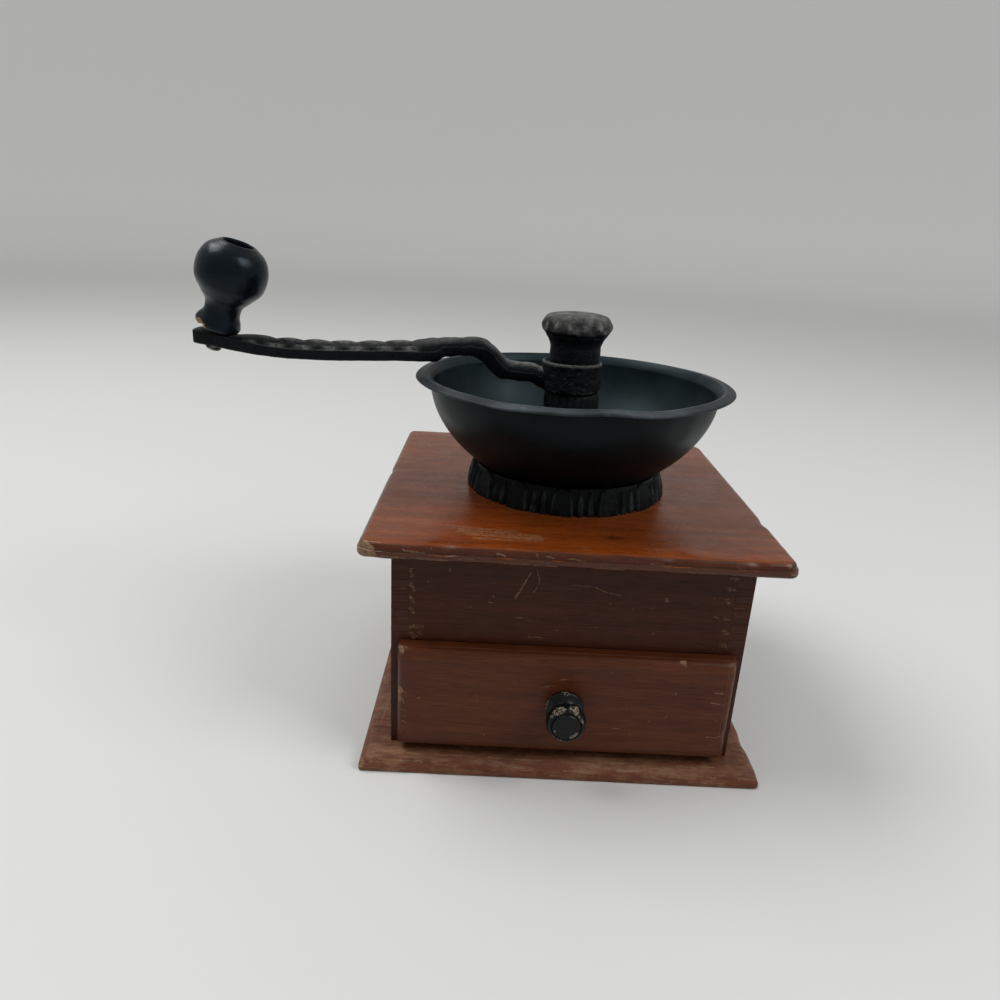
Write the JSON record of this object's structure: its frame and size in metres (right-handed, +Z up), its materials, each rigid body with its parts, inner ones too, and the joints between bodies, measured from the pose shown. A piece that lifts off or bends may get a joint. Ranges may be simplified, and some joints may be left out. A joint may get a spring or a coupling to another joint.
{
  "type": "box coffee mill",
  "caption": "Hand-cranked wooden box coffee mill with an open bowl, a conical burr set under the top board and a drawer for the grounds.",
  "frame": {"origin": "centre of the base board's underside", "axes": "+Z up along the crank's axis; the drawer opens towards -Y; the crank arm points to -X at rest"},
  "size_m": [0.256, 0.1802, 0.2089],
  "materials": {
    "boards": "satin stained and worn",
    "walls": "satin dark stain with fine grain",
    "drawer_face": "satin stained and worn",
    "raw_wood": "matte unstained",
    "painted_wood": "gloss black paint with chips",
    "cast_iron": "matte black with worn high spots",
    "bowl_metal": "satin slate black, worn at the rim",
    "steel": "satin, dulled"
  },
  "bodies": {
    "box": {"base_board": "boards", "base_screw_1": "steel", "base_screw_2": "steel", "base_screw_3": "steel", "base_screw_4": "steel", "left_wall": "walls", "right_wall": "walls", "front_panel": "walls", "back_wall": "walls", "top_board": "boards", "mill_housing": "cast_iron", "housing_screw_1": "steel", "housing_screw_2": "steel", "housing_screw_3": "steel", "housing_screw_4": "steel", "outer_burr": "steel", "bearing_bridge": "cast_iron", "lower_bridge": "steel", "lower_screw_left": "steel", "lower_screw_right": "steel", "collar_ring": "cast_iron", "hopper_bowl": "bowl_metal", "bowl_screw_1": "steel", "bowl_screw_2": "steel", "bowl_screw_3": "steel"},
    "drawer": {"drawer_front": "drawer_face", "drawer_left_side": "raw_wood", "drawer_right_side": "raw_wood", "drawer_back": "raw_wood", "drawer_bottom": "raw_wood", "drawer_knob": "painted_wood", "drawer_knob_screw": "steel"},
    "washer": {"key_washer": "steel"},
    "nut": {"adjusting_nut": "cast_iron"},
    "crank": {"spindle": "steel", "inner_burr": "steel", "drive_pin": "steel", "tension_spring": "steel", "crank_arm": "cast_iron", "cap_nut": "cast_iron", "knob_pin": "steel"},
    "knob": {"crank_knob": "painted_wood"}
  },
  "joints": [
    {"name": "drawer_slide", "type": "slide", "parent": "box", "child": "drawer", "axis": [0, -1, 0], "range_m": [0, 0.12]},
    {"name": "crank_spin", "type": "hinge", "parent": "box", "child": "washer", "pos_m": [0, 0, 0.1395], "axis": [0, 0, 1], "continuous": true},
    {"name": "grind_adjust", "type": "hinge", "parent": "washer", "child": "nut", "pos_m": [0, 0, 0.145], "axis": [0, 0, -1], "range_deg": [0, 340]},
    {"name": "spindle_lift", "type": "slide", "parent": "washer", "child": "crank", "axis": [0, 0, 1], "range_m": [0, 0.00118], "deforming": ["tension_spring"]},
    {"name": "knob_spin", "type": "hinge", "parent": "crank", "child": "knob", "pos_m": [-0.1614, 0, 0.1697], "axis": [0.3173, -0.0496, 0.947], "continuous": true}
  ],
  "couplings": [
    {"joint": "grind_adjust", "follows": "spindle_lift", "rad_per_m": 5026.6}
  ]
}
